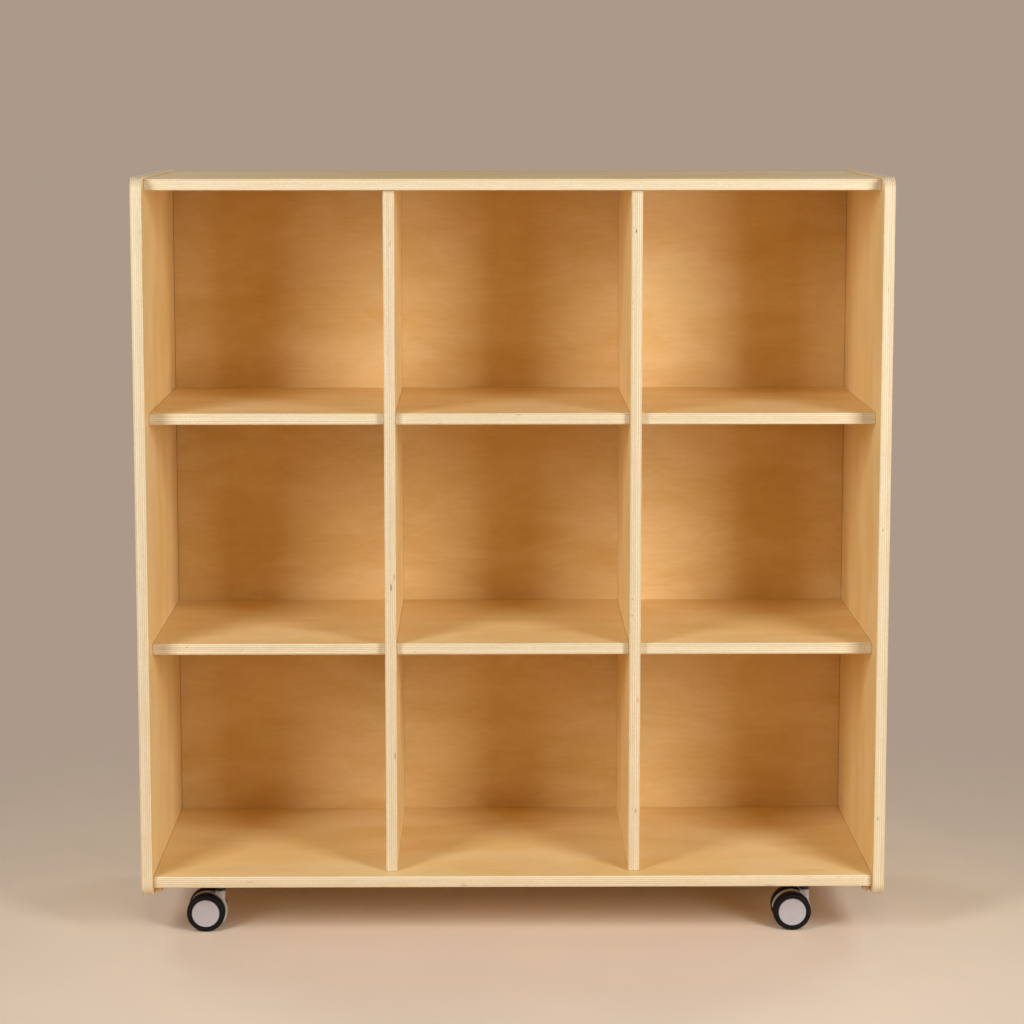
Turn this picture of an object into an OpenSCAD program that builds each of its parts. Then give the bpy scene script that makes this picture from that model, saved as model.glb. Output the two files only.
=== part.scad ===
// Cubby shelf on casters: a plywood cabinet of three by three cubbies on four twin wheel casters.
// Millimetres. X to the right, Y to the back, Z up, origin on the floor under the middle of the cabinet.

/* [Cabinet] */
// Thickness of the plywood panels
ply_t = 15; // [14:0.5:18]
// Clear width of one cubby
cubby_w = 307; // [260:1:360]
// Clear height of one cubby
cubby_h = 291; // [240:1:340]
// Depth of the side panels from front to back
case_depth = 380; // [340:1:450]
// Thickness of the back panel
back_t = 6; // [5:0.5:9]
// Height from the floor to the underside of the bottom panel
caster_h = 71; // [68:0.5:85]
// How far the side panels stand up past the top panel
side_rise = 3; // [1:0.5:8]
// How far the side panels hang down past the bottom panel
side_drop = 12; // [8:0.5:16]

/* [Front edges] */
// Radius of the front corners of the side panels
corner_r = 20; // [8:1:30]
// Radius that eases the front edges of every panel
ease_r = 2; // [1:0.25:3]
// Top panel behind the front of the side panels
top_setback = 26; // [20:1:34]
// Bottom panel behind the front of the side panels
bottom_setback = 9; // [4:1:16]
// Dividers behind the front of the side panels
divider_setback = 34; // [20:1:44]
// Shelves behind the front of the side panels
shelf_setback = 45; // [35:1:60]

/* [Dowels] */
// Diameter of the dowels
dowel_d = 8; // [6:0.5:9]
// Depth of a dowel in the face of a panel
dowel_bite = 10; // [7:0.5:11]
// Depth of a dowel in the end of a panel
dowel_reach = 20; // [14:1:30]
// Distance of the first and last dowel from the ends of a joint
dowel_inset = 50; // [35:1:70]

/* [Underside strips] */
// Width of the strip under each end of the bottom panel
strip_w = 8; // [7:0.5:14]
// Gap between the strip and the side panel
strip_gap = 2; // [1:0.5:8]
// How far the strip stops above the lower edge of the side panel
strip_lift = 3; // [1:0.5:5]
// Strip behind the front of the bottom panel
strip_setback = 10; // [5:1:30]

/* [Casters] */
// Swivel axis from the outer face of the side panel
caster_inset_x = 98; // [85:1:140]
// Swivel axis from the front and from the back of the side panels
caster_inset_y = 68; // [60:1:110]
// Distance from the swivel axis back to the axle
trail = 18; // [16:0.5:22]
// Edge length of the mounting plate
plate_w = 42; // [40:1:60]
// Thickness of the mounting plate
plate_t = 2.5; // [2:0.25:4]
// Corner radius of the mounting plate
plate_r = 5; // [2:0.5:8]
// Spacing of the plate's screws in both directions
plate_pitch = 32; // [30:0.5:34]
// Diameter of the kingpin
pin_d = 7; // [6:0.5:8]
// Length of the kingpin inside the housing
pin_grip = 14; // [10:0.5:18]
// Diameter of the kingpin's flat head
pin_head_d = 11; // [10:0.5:14]
// Height of the kingpin's flat head
pin_head_h = 1.8; // [1:0.1:1.9]
// Diameter of the bearing cup at its lower end
cup_d = 13; // [11:0.5:15]
// Diameter of the bearing cup where it meets the plate
cup_base_d = 26; // [20:0.5:28]
// Height of the bearing cup's wide base
cup_base_h = 3; // [2:0.5:5]
// Height of the cone between the cup's base and its neck
cup_cone_h = 5; // [3:0.5:8]
// Width of the housing's column
column_d = 12.6; // [11.5:0.1:15]
// Height of the column's top above the wheels
column_rise = 0.5; // [0.5:0.25:3]
// Thickness of the housing between the wheels
web_t = 11; // [10:0.5:12]
// How far the hood's rim reaches past the wheels' radius
hood_rim = 0.8; // [0.5:0.1:2]
// Hood centre from the axle, towards the column
hood_shift_x = 1; // [0:0.25:2]
// Hood centre below the axle
hood_shift_z = 2; // [0:0.25:3]
// Radius of the housing's boss around the axle
boss_r = 8; // [6:0.5:10]
// Diameter of the axle
axle_d = 6; // [5:0.5:7]

/* [Wheels] */
// Diameter of the wheels
wheel_d = 51; // [46:0.5:54]
// Width of one wheel
wheel_w = 17.5; // [15:0.5:20]
// Diameter of the hub inside the tyre
hub_d = 37.6; // [35:0.1:40]
// Radius of the tyre's shoulders
shoulder_r = 4.5; // [2:0.25:5]
// Wall of the hub's rim
rim_t = 2.4; // [2:0.1:3.5]
// Thickness of the hub's disc
disc_t = 2.5; // [2:0.1:4]
// Diameter of the boss inside the hub
hub_boss_d = 13; // [11:0.5:16]
// Thickness of the hub cap's face
cap_t = 2; // [1.5:0.1:2.5]
// Depth of the hub cap's snap ring
cap_ring_h = 3; // [2:0.25:4]
// Wall of the hub cap's snap ring
cap_ring_t = 1.5; // [1:0.1:2]
// Edge radius of the hub cap
cap_edge_r = 0.8; // [0.4:0.1:1.2]
// Gap around the hub cap
cap_gap = 0.4; // [0.2:0.1:0.8]

/* [Screws] */
// Diameter of the back panel's screws
back_screw_d = 3.5; // [3:0.25:4]
// Length of the back panel's screws
back_screw_l = 20; // [16:1:24]
// Distance between the two screws over and under each cubby
back_screw_pitch = 150; // [100:5:200]
// Diameter of the caster screws
caster_screw_d = 3.8; // [3:0.1:4.5]
// Length of the caster screws under the head
caster_screw_l = 13; // [10:0.5:14]
// Diameter of the underside strips' screws
strip_screw_d = 3; // [2.5:0.25:3.5]
// Length of the underside strips' screws
strip_screw_l = 20; // [16:0.5:22]

/* [Clearances] */
// Radial clearance of pins, dowels and screws in their holes
fit_gap = 0.05; // [0.02:0.01:0.1]
// Gap between faces that turn past each other
joint_gap = 0.3; // [0.2:0.05:0.5]
// Gap between a wheel and the housing beside it
side_gap = 0.7; // [0.6:0.1:1.5]
// Empty depth past the end of each dowel and screw
end_gap = 0.5; // [0.25:0.25:1]

/* [Hidden] */

$fn = 64;
// A cut runs this far past the surface that it opens
over = 1;
// Columns and rows of cubbies
columns = 3;
rows = 3;
// Directions of the left, right, front, rear, near and far pieces along their axes
left = -1;
right = 1;
front = -1;
rear = 1;
near = -1;
far = 1;

// Widths and the places of the panels across the cabinet
column_pitch = cubby_w + ply_t;
inner_w = columns * cubby_w + (columns - 1) * ply_t;
outer_w = inner_w + 2 * ply_t;
function column_x(c) = (c - (columns - 1) / 2) * column_pitch;
function divider_x(side) = side * column_pitch / 2;

// Levels: the upper surface of the bottom panel is level 0, that of the top panel is the last one
level_pitch = cubby_h + ply_t;
function level_z(n) = caster_h + ply_t + n * level_pitch;
case_top_z = level_z(rows);
side_z0 = caster_h - side_drop;
side_z1 = case_top_z + side_rise;
side_h = side_z1 - side_z0;
divider_h = rows * cubby_h + (rows - 1) * ply_t;

// Fronts and backs of the panels
front_y = -case_depth / 2;
back_y = case_depth / 2;
panel_back_y = back_y - back_t;
top_front_y = front_y + top_setback;
bottom_front_y = front_y + bottom_setback;
divider_front_y = front_y + divider_setback;
shelf_front_y = front_y + shelf_setback;

// Places of the dowels from front to back
function two_dowels(y0) = [y0 + dowel_inset, panel_back_y - dowel_inset];
function three_dowels(y0) = [y0 + dowel_inset, (y0 + panel_back_y) / 2, panel_back_y - dowel_inset];
top_dowel_ys = three_dowels(top_front_y);
bottom_dowel_ys = three_dowels(bottom_front_y);
divider_dowel_ys = two_dowels(divider_front_y);
shelf_dowel_ys = two_dowels(shelf_front_y);
// A dowel that passes through a divider reaches into the shelves on both sides
through_dowel_l = ply_t + 2 * dowel_reach;
dowel_l = dowel_bite + dowel_reach;

// Underside strips
strip_x = inner_w / 2 - strip_gap - strip_w / 2;
strip_z0 = side_z0 + strip_lift;
strip_h = caster_h - strip_z0;
strip_front_y = bottom_front_y + strip_setback;
// The strips' screws go in between the dowels of the bottom panel
strip_screw_ys = [(bottom_dowel_ys[0] + bottom_dowel_ys[1]) / 2, (bottom_dowel_ys[1] + bottom_dowel_ys[2]) / 2];

// Screw heads: a countersunk head is twice as wide as its shank, a pan head has its own size
function sunk_head_r(d) = d;
function sunk_head_h(d) = d / 2;
pan_head_r = 3.8;
pan_top_r = 2.6;
pan_head_h = 2.2;
pan_rim_h = 1.2;
slot_w = 0.9;
slot_depth = 1.1;
// Heights of the back screws beside each divider, and of the rows over, under and between the cubbies
back_screw_zs = [for (r = [0 : rows - 1]) level_z(r) + cubby_h / 2];
shelf_screw_zs = [for (r = [1 : rows - 1]) level_z(r) - ply_t / 2];
edge_screw_zs = [level_z(0) - ply_t / 2, level_z(rows) - ply_t / 2];

// Casters
caster_x = outer_w / 2 - caster_inset_x;
caster_y = case_depth / 2 - caster_inset_y;
wheel_r = wheel_d / 2;
axle_z = wheel_r;
pin_r = pin_d / 2;
axle_r = axle_d / 2;
column_r = column_d / 2;
column_top_z = wheel_d + column_rise;
plate_z = caster_h - plate_t;
cup_z0 = column_top_z + joint_gap;
// The round neck of the column starts where the wheels, turning under it, stay clear
neck_z0 = axle_z + sqrt(pow(wheel_r + joint_gap, 2) - pow(trail - column_r, 2));
pin_z0 = column_top_z - pin_grip;
hood_r = wheel_r + hood_rim;
// The lower edge of the hood falls from behind the axle to below it on the column's side
hood_cut = [[-40, 3], [-30, 3], [22, -17], [60, -17], [60, 60], [-40, 60]];

// Wheels, measured from the face beside the housing outwards
hub_r = hub_d / 2;
tyre_bore_r = hub_r + fit_gap;
cap_r = hub_r - cap_gap;
cap_seat_w = wheel_w - cap_t - cap_gap;
rim_start_w = 1;
disc_w0 = wheel_w / 2 - disc_t / 2;
hub_boss_r = hub_boss_d / 2;
hub_boss_w0 = joint_gap - side_gap;
hub_boss_w1 = cap_seat_w - cap_ring_h;
wheel_y = web_t / 2 + side_gap;
axle_half_l = wheel_y + cap_seat_w - joint_gap;

// Strip with both corners of its far end eased: run along X, thickness t along Y
module eased_strip(run, t) {
    square([run - ease_r, t]);
    translate([0, ease_r])
        square([run, t - 2 * ease_r]);
    for (v = [ease_r, t - ease_r])
        translate([run - ease_r, v])
            circle(r = ease_r);
}

// Horizontal panel w wide from y0 to y1 with its upper face at z, front edge eased
module level_panel(w, y0, y1, z) {
    translate([w / 2, y1, z - ply_t])
        rotate([90, 0, -90])
            linear_extrude(w)
                eased_strip(y1 - y0, ply_t);
}

// Vertical panel from z0 upwards, its left face at x = 0, front edge eased
module upright_panel(y0, y1, z0, h) {
    translate([0, y1, z0])
        rotate([0, 0, -90])
            linear_extrude(h)
                eased_strip(y1 - y0, ply_t);
}

// Half of the outline of a side panel, from its middle height up, left face at x = 0
module side_half() {
    half_h = side_h / 2;
    translate([0, front_y + corner_r, -over])
        cube([ply_t, case_depth - corner_r, half_h - corner_r + over]);
    upright_front = front_y + corner_r;
    translate([0, 0, -over])
        upright_panel(front_y, upright_front, 0, half_h - corner_r + over);
    translate([0, upright_front, half_h - corner_r])
        rotate([-90, -90, 0])
            linear_extrude(case_depth - corner_r)
                eased_strip(corner_r, ply_t);
    translate([0, upright_front, half_h - corner_r])
        rotate([0, -90, 180])
            rotate_extrude(angle = 90)
                eased_strip(corner_r, ply_t);
}

// Bore along X, centred at x, from x - l / 2 to x + l / 2
module bore_x(x, y, z, l, d) {
    translate([x - l / 2, y, z])
        rotate([0, 90, 0])
            cylinder(h = l, d = d);
}

// Dowels, or with grow the holes they sit in, between the ends of a panel and the faces beside it
module side_dowels(ys, z, grow) {
    for (side = [left, right], y = ys)
        bore_x(side * (inner_w / 2 + (dowel_bite - dowel_reach) / 2), y, z,
            dowel_l + 2 * grow * end_gap, dowel_d + 2 * grow * fit_gap);
}

module through_dowels(z, grow) {
    for (side = [left, right], y = shelf_dowel_ys)
        bore_x(divider_x(side), y, z, through_dowel_l + 2 * grow * end_gap, dowel_d + 2 * grow * fit_gap);
}

module upright_dowels(grow) {
    for (side = [left, right], y = divider_dowel_ys) {
        translate([divider_x(side), y, level_z(0) - dowel_bite - grow * end_gap])
            cylinder(h = dowel_l + 2 * grow * end_gap, d = dowel_d + 2 * grow * fit_gap);
        translate([divider_x(side), y, case_top_z - ply_t - dowel_reach - grow * end_gap])
            cylinder(h = dowel_l + 2 * grow * end_gap, d = dowel_d + 2 * grow * fit_gap);
    }
}

// Every dowel of the cabinet, or with grow every dowel hole
module all_dowels(grow) {
    side_dowels(top_dowel_ys, case_top_z - ply_t / 2, grow);
    side_dowels(bottom_dowel_ys, level_z(0) - ply_t / 2, grow);
    for (n = [1 : rows - 1]) {
        side_dowels(shelf_dowel_ys, level_z(n) - ply_t / 2, grow);
        through_dowels(level_z(n) - ply_t / 2, grow);
    }
    upright_dowels(grow);
}

// Cross slot cut into a screw head, its mouth at z = 0 and its depth upwards
module cross_slot(span) {
    for (turn = [0, 90])
        rotate([0, 0, turn])
            translate([-span / 2, -slot_w / 2, -over])
                cube([span, slot_w, slot_depth + over]);
}

// Countersunk screw pointing up, its flat head at z = 0
module sunk_screw(d, l) {
    difference() {
        union() {
            cylinder(h = sunk_head_h(d), r1 = sunk_head_r(d), r2 = d / 2);
            cylinder(h = l, d = d);
        }
        cross_slot(d);
    }
}

// Hole for a countersunk screw
module sunk_hole(d, l) {
    cylinder(h = sunk_head_h(d), r1 = sunk_head_r(d) + fit_gap, r2 = d / 2 + fit_gap);
    translate([0, 0, -over])
        cylinder(h = over + fit_gap, r = sunk_head_r(d) + fit_gap);
    cylinder(h = l + end_gap, d = d + 2 * fit_gap);
}

// Pan headed screw pointing up, the underside of its head at z = 0
module pan_screw(d, l) {
    difference() {
        union() {
            cylinder(h = l, d = d);
            translate([0, 0, -pan_rim_h])
                cylinder(h = pan_rim_h, r = pan_head_r);
            translate([0, 0, -pan_head_h])
                cylinder(h = pan_head_h - pan_rim_h, r1 = pan_top_r, r2 = pan_head_r);
        }
        translate([0, 0, -pan_head_h])
            cross_slot(pan_head_r);
    }
}

// Places of the screws in the back panel, each pointing forwards
module at_back_screws() {
    spots = concat(
        [for (c = [0 : columns - 1], s = [left, right], z = edge_screw_zs)
            [column_x(c) + s * back_screw_pitch / 2, z]],
        [for (s = [left, right], z = back_screw_zs) [divider_x(s), z]],
        [for (c = [0 : columns - 1], z = shelf_screw_zs) [column_x(c), z]]
    );
    for (p = spots)
        translate([p[0], back_y, p[1]])
            rotate([90, 0, 0])
                children();
}

module at_casters() {
    for (sx = [left, right], sy = [front, rear])
        translate([sx * caster_x, sy * caster_y, 0])
            children();
}

module at_plate_screws() {
    for (px = [-1, 1], py = [-1, 1])
        translate([px * plate_pitch / 2, py * plate_pitch / 2, 0])
            children();
}

module at_strip_screws() {
    for (side = [left, right], y = strip_screw_ys)
        translate([side * strip_x, y, strip_z0])
            children();
}

module side_panel(side) {
    color("burlywood")
        difference() {
            translate([side * outer_w / 2, 0, (side_z0 + side_z1) / 2])
                mirror([side > 0 ? 1 : 0, 0, 0])
                    for (half = [0, 1])
                        mirror([0, 0, half])
                            side_half();
            all_dowels(1);
        }
}

module top_panel() {
    color("burlywood")
        difference() {
            level_panel(inner_w, top_front_y, panel_back_y, case_top_z);
            all_dowels(1);
            at_back_screws()
                sunk_hole(back_screw_d, back_screw_l);
        }
}

module bottom_panel() {
    color("burlywood")
        difference() {
            level_panel(inner_w, bottom_front_y, panel_back_y, level_z(0));
            all_dowels(1);
            at_back_screws()
                sunk_hole(back_screw_d, back_screw_l);
            at_casters()
                at_plate_screws()
                    translate([0, 0, plate_z])
                        cylinder(h = caster_screw_l + end_gap, d = caster_screw_d + 2 * fit_gap);
            at_strip_screws()
                sunk_hole(strip_screw_d, strip_screw_l);
        }
}

module divider(side) {
    color("burlywood")
        difference() {
            translate([divider_x(side) - ply_t / 2, 0, 0])
                upright_panel(divider_front_y, panel_back_y, level_z(0), divider_h);
            all_dowels(1);
            at_back_screws()
                sunk_hole(back_screw_d, back_screw_l);
        }
}

module shelf(column, level) {
    color("burlywood")
        difference() {
            translate([column_x(column), 0, 0])
                level_panel(cubby_w, shelf_front_y, panel_back_y, level_z(level));
            all_dowels(1);
            at_back_screws()
                sunk_hole(back_screw_d, back_screw_l);
        }
}

module back_panel() {
    color("tan")
        difference() {
            translate([-inner_w / 2, panel_back_y, caster_h])
                cube([inner_w, back_t, case_top_z - caster_h]);
            at_back_screws()
                sunk_hole(back_screw_d, back_screw_l);
        }
}

module underside_strip(side) {
    color("tan")
        difference() {
            translate([side * strip_x - strip_w / 2, strip_front_y, strip_z0])
                cube([strip_w, panel_back_y - strip_front_y, strip_h]);
            at_strip_screws()
                sunk_hole(strip_screw_d, strip_screw_l);
        }
}

module joint_dowels() {
    color("wheat")
        all_dowels(0);
}

module back_panel_screws() {
    color("silver")
        at_back_screws()
            sunk_screw(back_screw_d, back_screw_l);
}

module caster_screws() {
    color("silver")
        at_casters()
            at_plate_screws()
                translate([0, 0, plate_z])
                    pan_screw(caster_screw_d, caster_screw_l);
}

module strip_screws() {
    color("silver")
        at_strip_screws()
            sunk_screw(strip_screw_d, strip_screw_l);
}

// Square outline with round corners
module plate_outline() {
    reach = plate_w / 2 - plate_r;
    square([plate_w, 2 * reach], center = true);
    square([2 * reach, plate_w], center = true);
    for (px = [-1, 1], py = [-1, 1])
        translate([px * reach, py * reach])
            circle(r = plate_r);
}

// Outline of half the bearing cup: a straight neck, a cone and a wide base under the plate
module cup_profile() {
    inner = pin_r + fit_gap;
    base_z = plate_z - cup_base_h;
    polygon([
        [inner, cup_z0], [cup_d / 2, cup_z0], [cup_d / 2, base_z - cup_cone_h],
        [cup_base_d / 2, base_z], [cup_base_d / 2, plate_z], [inner, plate_z]
    ]);
}

// Mounting plate with the bearing cup pressed out of it
module caster_plate(sx, sy) {
    color("dimgray")
        translate([sx * caster_x, sy * caster_y, 0]) {
            difference() {
                translate([0, 0, plate_z])
                    linear_extrude(plate_t)
                        plate_outline();
                translate([0, 0, plate_z - over])
                    cylinder(h = plate_t + 2 * over, r = pin_r + fit_gap);
                translate([0, 0, caster_h - pin_head_h])
                    cylinder(h = pin_head_h, r1 = pin_r + fit_gap, r2 = pin_head_d / 2 + fit_gap);
                at_plate_screws()
                    translate([0, 0, plate_z - over])
                        cylinder(h = plate_t + 2 * over, d = caster_screw_d + 2 * fit_gap);
            }
            rotate_extrude()
                cup_profile();
        }
}

module kingpin(sx, sy) {
    color("silver")
        translate([sx * caster_x, sy * caster_y, 0]) {
            translate([0, 0, pin_z0])
                cylinder(h = caster_h - pin_z0, r = pin_r);
            translate([0, 0, caster_h - pin_head_h])
                cylinder(h = pin_head_h, r1 = pin_r, r2 = pin_head_d / 2);
        }
}

// Side view of the housing, its origin at the axle and the column towards +X
module housing_outline() {
    intersection() {
        translate([hood_shift_x, -hood_shift_z])
            circle(r = hood_r);
        polygon(hood_cut);
    }
    circle(r = boss_r);
    translate([trail - column_r, 0])
        square([column_d, column_top_z - axle_z]);
}

// Housing: a hood between the wheels that carries the axle, and a column that holds the kingpin
module caster_housing(sx, sy) {
    color("silver")
        translate([sx * caster_x, sy * caster_y, 0])
            difference() {
                union() {
                    translate([-trail, web_t / 2, axle_z])
                        rotate([90, 0, 0])
                            linear_extrude(web_t)
                                housing_outline();
                    translate([0, 0, neck_z0])
                        cylinder(h = column_top_z - neck_z0, r = column_r);
                }
                translate([0, 0, pin_z0 - end_gap])
                    cylinder(h = pin_grip + end_gap + over, r = pin_r + fit_gap);
                translate([-trail, web_t, axle_z])
                    rotate([90, 0, 0])
                        cylinder(h = 2 * web_t, r = axle_r + fit_gap);
            }
}

module axle(sx, sy) {
    color("silver")
        translate([sx * caster_x - trail, sy * caster_y + axle_half_l, axle_z])
            rotate([90, 0, 0])
                cylinder(h = 2 * axle_half_l, r = axle_r);
}

// Puts a wheel part, turned about Z from its inner face outwards, on its axle
module on_axle(sx, sy, end) {
    translate([sx * caster_x - trail, sy * caster_y + end * wheel_y, axle_z])
        rotate([-end * 90, 0, 0])
            children();
}

// Outline of half a wheel with round shoulders
module wheel_profile() {
    square([wheel_r - shoulder_r, wheel_w]);
    translate([0, shoulder_r])
        square([wheel_r, wheel_w - 2 * shoulder_r]);
    for (w = [shoulder_r, wheel_w - shoulder_r])
        translate([wheel_r - shoulder_r, w])
            circle(r = shoulder_r);
}

// Tyre: a ring with round shoulders on the hub
module tyre(sx, sy, end) {
    color("dimgray")
        on_axle(sx, sy, end)
            rotate_extrude()
                difference() {
                    wheel_profile();
                    translate([-over, -over])
                        square([tyre_bore_r + over, wheel_w + 2 * over]);
                }
}

// Hub: a boss that runs on the axle, a disc and the rim under the tyre
module hub(sx, sy, end) {
    bore_r = axle_r + fit_gap;
    color("silver")
        on_axle(sx, sy, end)
            rotate_extrude() {
                translate([bore_r, hub_boss_w0])
                    square([hub_boss_r - bore_r, hub_boss_w1 - hub_boss_w0]);
                translate([hub_boss_r - over, disc_w0])
                    square([hub_r - rim_t - hub_boss_r + 2 * over, disc_t]);
                translate([hub_r - rim_t, rim_start_w])
                    square([rim_t, cap_seat_w - fit_gap - rim_start_w]);
            }
}

// Hub cap: a flat face with an eased edge, and a snap ring inside the hub's rim
module hub_cap(sx, sy, end) {
    ring_r = hub_r - rim_t - fit_gap;
    color("lightgray")
        on_axle(sx, sy, end)
            rotate_extrude() {
                translate([0, cap_seat_w])
                    square([cap_r - cap_edge_r, cap_t]);
                translate([0, cap_seat_w])
                    square([cap_r, cap_t - cap_edge_r]);
                translate([cap_r - cap_edge_r, cap_seat_w + cap_t - cap_edge_r])
                    circle(r = cap_edge_r);
                translate([ring_r - cap_ring_t, cap_seat_w - cap_ring_h])
                    square([cap_ring_t, cap_ring_h + cap_edge_r]);
            }
}

side_panel(left);  // side_panel_left
side_panel(right);  // side_panel_right
top_panel();
bottom_panel();
divider(left);  // divider_left
divider(right);  // divider_right
shelf(0, 2);  // shelf_upper_left
shelf(1, 2);  // shelf_upper_middle
shelf(2, 2);  // shelf_upper_right
shelf(0, 1);  // shelf_lower_left
shelf(1, 1);  // shelf_lower_middle
shelf(2, 1);  // shelf_lower_right
back_panel();
underside_strip(left);  // underside_strip_left
underside_strip(right);  // underside_strip_right
joint_dowels();
back_panel_screws();
caster_screws();
strip_screws();
caster_plate(left, front);  // caster_plate_front_left
kingpin(left, front);  // kingpin_front_left
caster_housing(left, front);  // caster_housing_front_left
axle(left, front);  // axle_front_left
tyre(left, front, near);  // tyre_front_left_near
hub(left, front, near);  // hub_front_left_near
hub_cap(left, front, near);  // hub_cap_front_left_near
tyre(left, front, far);  // tyre_front_left_far
hub(left, front, far);  // hub_front_left_far
hub_cap(left, front, far);  // hub_cap_front_left_far
caster_plate(right, front);  // caster_plate_front_right
kingpin(right, front);  // kingpin_front_right
caster_housing(right, front);  // caster_housing_front_right
axle(right, front);  // axle_front_right
tyre(right, front, near);  // tyre_front_right_near
hub(right, front, near);  // hub_front_right_near
hub_cap(right, front, near);  // hub_cap_front_right_near
tyre(right, front, far);  // tyre_front_right_far
hub(right, front, far);  // hub_front_right_far
hub_cap(right, front, far);  // hub_cap_front_right_far
caster_plate(left, rear);  // caster_plate_rear_left
kingpin(left, rear);  // kingpin_rear_left
caster_housing(left, rear);  // caster_housing_rear_left
axle(left, rear);  // axle_rear_left
tyre(left, rear, near);  // tyre_rear_left_near
hub(left, rear, near);  // hub_rear_left_near
hub_cap(left, rear, near);  // hub_cap_rear_left_near
tyre(left, rear, far);  // tyre_rear_left_far
hub(left, rear, far);  // hub_rear_left_far
hub_cap(left, rear, far);  // hub_cap_rear_left_far
caster_plate(right, rear);  // caster_plate_rear_right
kingpin(right, rear);  // kingpin_rear_right
caster_housing(right, rear);  // caster_housing_rear_right
axle(right, rear);  // axle_rear_right
tyre(right, rear, near);  // tyre_rear_right_near
hub(right, rear, near);  // hub_rear_right_near
hub_cap(right, rear, near);  // hub_cap_rear_right_near
tyre(right, rear, far);  // tyre_rear_right_far
hub(right, rear, far);  // hub_rear_right_far
hub_cap(right, rear, far);  // hub_cap_rear_right_far
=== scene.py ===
"""Looks of a plywood cubby shelf on four twin wheel casters.

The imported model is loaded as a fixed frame. The panels, strips, casters and screws that show are modelled
again with eased edges, each at the place of its solid. Parts that are hidden keep their solids. Every piece
gets a procedural finish.

Lengths are metres, X to the right, Y to the back, Z up. The finishes work in millimetres.
"""

from __future__ import annotations

import logging
import math
from collections.abc import Callable, Iterable
from dataclasses import dataclass, field
from enum import Enum, IntEnum
from functools import cache, reduce

import bmesh
import bpy
from mathutils import Matrix, Vector


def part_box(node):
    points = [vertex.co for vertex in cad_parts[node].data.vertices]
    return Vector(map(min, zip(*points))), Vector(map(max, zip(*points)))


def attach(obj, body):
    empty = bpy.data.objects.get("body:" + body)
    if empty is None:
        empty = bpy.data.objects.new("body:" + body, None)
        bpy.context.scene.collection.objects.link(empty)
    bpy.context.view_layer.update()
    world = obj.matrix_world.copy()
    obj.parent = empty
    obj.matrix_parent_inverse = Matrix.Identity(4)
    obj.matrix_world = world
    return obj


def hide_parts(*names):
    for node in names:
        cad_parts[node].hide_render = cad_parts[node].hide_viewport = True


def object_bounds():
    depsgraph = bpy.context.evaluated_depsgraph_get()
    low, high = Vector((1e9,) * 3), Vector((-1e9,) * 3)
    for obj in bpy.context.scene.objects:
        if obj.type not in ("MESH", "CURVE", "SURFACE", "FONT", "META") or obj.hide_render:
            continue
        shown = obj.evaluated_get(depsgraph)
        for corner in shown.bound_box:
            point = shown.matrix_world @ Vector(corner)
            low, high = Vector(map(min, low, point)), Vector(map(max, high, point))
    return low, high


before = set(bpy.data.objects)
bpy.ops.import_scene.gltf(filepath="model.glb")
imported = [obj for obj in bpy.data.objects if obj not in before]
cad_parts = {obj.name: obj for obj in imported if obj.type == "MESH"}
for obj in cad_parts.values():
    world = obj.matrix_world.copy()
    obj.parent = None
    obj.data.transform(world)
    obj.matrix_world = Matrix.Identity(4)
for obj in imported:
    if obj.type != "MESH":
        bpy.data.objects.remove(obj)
CAD_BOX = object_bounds()

MM = 0.001
UP = Vector((0, 0, 1))
BACK = Vector((0, 1, 0))
# A face points some way when its normal has this much of it
FACING = 0.9
# Edges above this angle, in degrees, are sharp
SHARP = 50.0
# Soft noise mostly lies between these values
NOISE_LOW, NOISE_HIGH = 0.3, 0.7
LOG = logging.getLogger("cubby_shelf")
CABINET = "cabinet"

Colour = tuple[float, float, float, float]
Triple = tuple[float, float, float]
Piece = bpy.types.Object
Node = bpy.types.Node
Socket = bpy.types.NodeSocket


class Axis(Enum):
    """The directions of the frame."""

    X = 0
    Y = 1
    Z = 2

    @property
    def vector(self) -> Vector:
        """The unit vector along this axis."""
        return Vector([float(axis is self) for axis in Axis])


class Sides(IntEnum):
    """The number of side faces of a round shape."""

    SCREW = 32
    BORE = 48
    COLUMN = 64
    WHEEL = 96
    HOOD = 128


# Modelling steps


def deselect() -> None:
    """Leave edit mode and deselect everything."""
    active = bpy.context.view_layer.objects.active
    if active is not None and active.mode != "OBJECT":
        bpy.ops.object.mode_set(mode="OBJECT")
    bpy.ops.object.select_all(action="DESELECT")


def choose(piece: Piece) -> None:
    """Select one piece alone and make it active.

    Args:
        piece: The piece.
    """
    deselect()
    piece.select_set(True)
    bpy.context.view_layer.objects.active = piece


def settle(name: str) -> Piece:
    """Name the primitive that was just added and move its place into its mesh.

    Args:
        name: Its name.

    Returns:
        The piece, its object at the origin.
    """
    piece = bpy.context.object
    piece.name = piece.data.name = name
    bpy.ops.object.transform_apply(location=True, rotation=True, scale=True)
    return piece


def add_block(name: str, low: Vector, high: Vector) -> Piece:
    """Add a block.

    Args:
        name: Its name.
        low: Its lowest corner.
        high: Its highest corner.

    Returns:
        The block.
    """
    deselect()
    bpy.ops.mesh.primitive_cube_add(size=1, location=(low + high) / 2, scale=high - low)
    return settle(name)


def add_drum(name: str, centre: Vector, radius: float, depth: float, axis: Axis, sides: Sides) -> Piece:
    """Add a round drum with flat ends.

    Args:
        name: Its name.
        centre: Its middle.
        radius: Its radius.
        depth: Its length along the axis.
        axis: The axis that it is round about.
        sides: The number of its side faces.

    Returns:
        The drum.
    """
    turn = UP.rotation_difference(axis.vector).to_euler()
    deselect()
    bpy.ops.mesh.primitive_cylinder_add(
        vertices=sides, radius=radius, depth=depth, location=centre, rotation=turn
    )
    return settle(name)


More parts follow.
